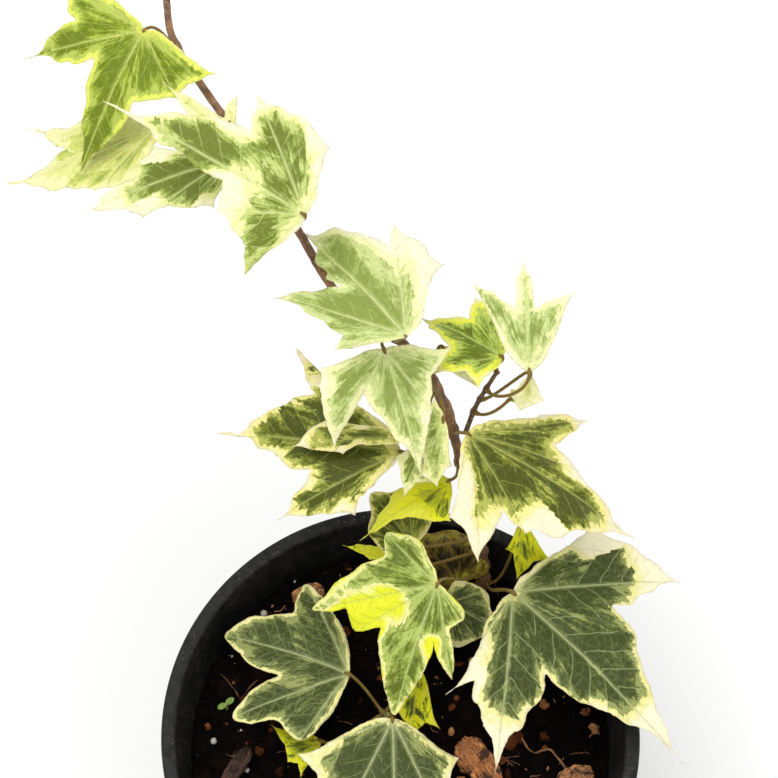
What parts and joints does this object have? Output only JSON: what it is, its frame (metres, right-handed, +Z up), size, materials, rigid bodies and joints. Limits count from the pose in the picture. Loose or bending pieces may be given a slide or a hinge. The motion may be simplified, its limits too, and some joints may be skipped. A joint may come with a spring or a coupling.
{
  "type": "potted ivy",
  "caption": "Variegated ivy in a round plastic nursery pot, with lobed cream-edged leaves and one long stem that arches up and trails away behind the pot.",
  "frame": {"origin": "centre of the pot's flat base, on the surface that it stands on", "axes": "+Z up, -Y the front of the pot, and the long stem trails away towards -X and +Y"},
  "size_m": [0.1746, 0.2773, 0.2119],
  "materials": {
    "pot_plastic": "satin",
    "soil": "matte",
    "stem_bark": "matte",
    "green_stem": "satin",
    "leaf_dark": "satin",
    "leaf_mid": "satin",
    "leaf_pale": "satin",
    "leaf_yellow": "satin",
    "leaf_cream": "satin",
    "leaf_withered": "matte",
    "bark_chip": "matte"
  },
  "bodies": {
    "root": {"pot": "pot_plastic", "soil": "soil", "main_stem": "stem_bark", "side_shoot": "stem_bark", "young_shoot": "green_stem", "runner_leaf_1": "leaf_mid", "runner_leaf_2": "leaf_pale", "runner_leaf_3": "leaf_dark", "runner_leaf_4": "leaf_pale", "runner_leaf_5": "leaf_mid", "runner_leaf_6": "leaf_pale", "runner_leaf_7": "leaf_pale", "tip_leaf_1": "leaf_pale", "tip_leaf_2": "leaf_mid", "tip_leaf_3": "leaf_yellow", "arch_leaf_1": "leaf_dark", "arch_leaf_2": "leaf_dark", "arch_leaf_3": "leaf_pale", "arch_leaf_4": "leaf_cream", "arch_leaf_5": "leaf_dark", "arch_leaf_6": "leaf_yellow", "side_leaf_1": "leaf_pale", "side_leaf_2": "leaf_mid", "side_leaf_3": "leaf_pale", "side_leaf_4": "leaf_cream", "side_leaf_5": "leaf_mid", "crown_leaf_1": "leaf_dark", "crown_leaf_2": "leaf_mid", "crown_leaf_3": "leaf_dark", "crown_leaf_4": "leaf_yellow", "crown_leaf_5": "leaf_yellow", "crown_leaf_6": "leaf_dark", "withered_leaf": "leaf_withered", "young_leaf_1": "leaf_dark", "young_leaf_2": "leaf_dark", "young_leaf_3": "leaf_yellow", "young_leaf_4": "leaf_yellow", "bark_chip_1": "bark_chip", "bark_chip_2": "bark_chip", "bark_chip_3": "bark_chip", "bark_chip_4": "bark_chip", "bark_chip_5": "bark_chip", "bark_chip_6": "bark_chip"}
  },
  "joints": []
}
